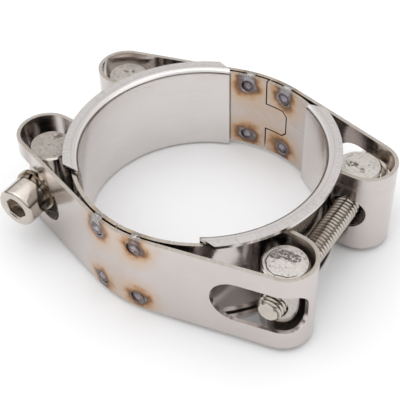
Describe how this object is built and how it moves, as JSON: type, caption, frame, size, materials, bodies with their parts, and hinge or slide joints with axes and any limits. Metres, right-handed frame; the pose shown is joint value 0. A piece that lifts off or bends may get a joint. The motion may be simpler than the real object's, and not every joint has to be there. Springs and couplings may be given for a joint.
{
  "type": "pipe repair clamp",
  "caption": "Two-part stainless steel band clamp for a pipe: folded straps with looped ends, cross pins, long socket-head screws and curved flanged liners.",
  "frame": {"origin": "centre of the pipe bore, half-way along the pipe between the two rims", "axes": "+Z along the pipe, +Y from the front strap to the back strap along both bolts, +X towards the right bolt"},
  "size_m": [0.0836, 0.0642, 0.0248],
  "materials": {
    "strap_steel": "cold-rolled stainless strip, satin, fine rolling lines",
    "liner_steel": "cold-rolled stainless sheet, satin, lightly scratched",
    "trunnion_steel": "cropped stainless bar, rough end faces, smooth sides",
    "bolt_steel": "cold-formed stainless, smooth, slightly glossy",
    "washer_steel": "stamped stainless, dull",
    "weld_steel": "spot-weld nugget with straw and blue heat tint"
  },
  "bodies": {
    "front_half": {"front_strap": "strap_steel", "front_spot_welds": "weld_steel"},
    "back_half": {"back_strap": "strap_steel", "back_spot_welds": "weld_steel"},
    "left_screw": {"left_bolt": "bolt_steel", "left_spring_washer": "washer_steel", "left_plain_washer": "washer_steel"},
    "right_screw": {"right_bolt": "bolt_steel", "right_spring_washer": "washer_steel", "right_plain_washer": "washer_steel"},
    "left_lining": {"left_liner": "liner_steel"},
    "right_lining": {"right_liner": "liner_steel"},
    "left_plain_pin": {"left_plain_trunnion": "trunnion_steel"},
    "right_plain_pin": {"right_plain_trunnion": "trunnion_steel"},
    "left_threaded_pin": {"left_threaded_trunnion": "trunnion_steel"},
    "right_threaded_pin": {"right_threaded_trunnion": "trunnion_steel"}
  },
  "joints": [
    {"name": "clamp_travel", "type": "slide", "parent": "front_half", "child": "back_half", "axis": [0, 1, 0], "range_m": [-0.0007, 0.01]},
    {"name": "left_bolt_turn", "type": "hinge", "parent": "front_half", "child": "left_screw", "pos_m": [-0.0331, 0, 0], "axis": [0, 1, 0], "range_deg": [-3605, 257]},
    {"name": "right_bolt_turn", "type": "hinge", "parent": "back_half", "child": "right_screw", "pos_m": [0.03255, 0, 0], "axis": [0, 1, 0], "range_deg": [-257, 3605]},
    {"name": "left_liner_float", "type": "slide", "parent": "front_half", "child": "left_lining", "axis": [0, 1, 0], "range_m": [-0.00036, 0.00502]},
    {"name": "right_liner_float", "type": "slide", "parent": "front_half", "child": "right_lining", "axis": [0, 1, 0], "range_m": [-0.00036, 0.00502]},
    {"name": "left_plain_pivot", "type": "hinge", "parent": "front_half", "child": "left_plain_pin", "pos_m": [-0.0331, -0.0152, 0], "axis": [0, 0, 1], "range_deg": [-4, 4]},
    {"name": "right_plain_pivot", "type": "hinge", "parent": "back_half", "child": "right_plain_pin", "pos_m": [0.03255, 0.01595, 0], "axis": [0, 0, 1], "range_deg": [-4, 4]},
    {"name": "left_threaded_pivot", "type": "hinge", "parent": "back_half", "child": "left_threaded_pin", "pos_m": [-0.0331, 0.01665, 0], "axis": [0, 0, 1], "range_deg": [-0.5, 0.5]},
    {"name": "right_threaded_pivot", "type": "hinge", "parent": "front_half", "child": "right_threaded_pin", "pos_m": [0.03255, -0.019, 0], "axis": [0, 0, 1], "range_deg": [-0.5, 0.5]}
  ],
  "couplings": [
    {"joint": "left_bolt_turn", "follows": "clamp_travel", "rad_per_m": -6283.2},
    {"joint": "right_bolt_turn", "follows": "clamp_travel", "rad_per_m": 6283.2},
    {"joint": "left_liner_float", "follows": "clamp_travel", "ratio": 0.5},
    {"joint": "right_liner_float", "follows": "clamp_travel", "ratio": 0.5}
  ]
}
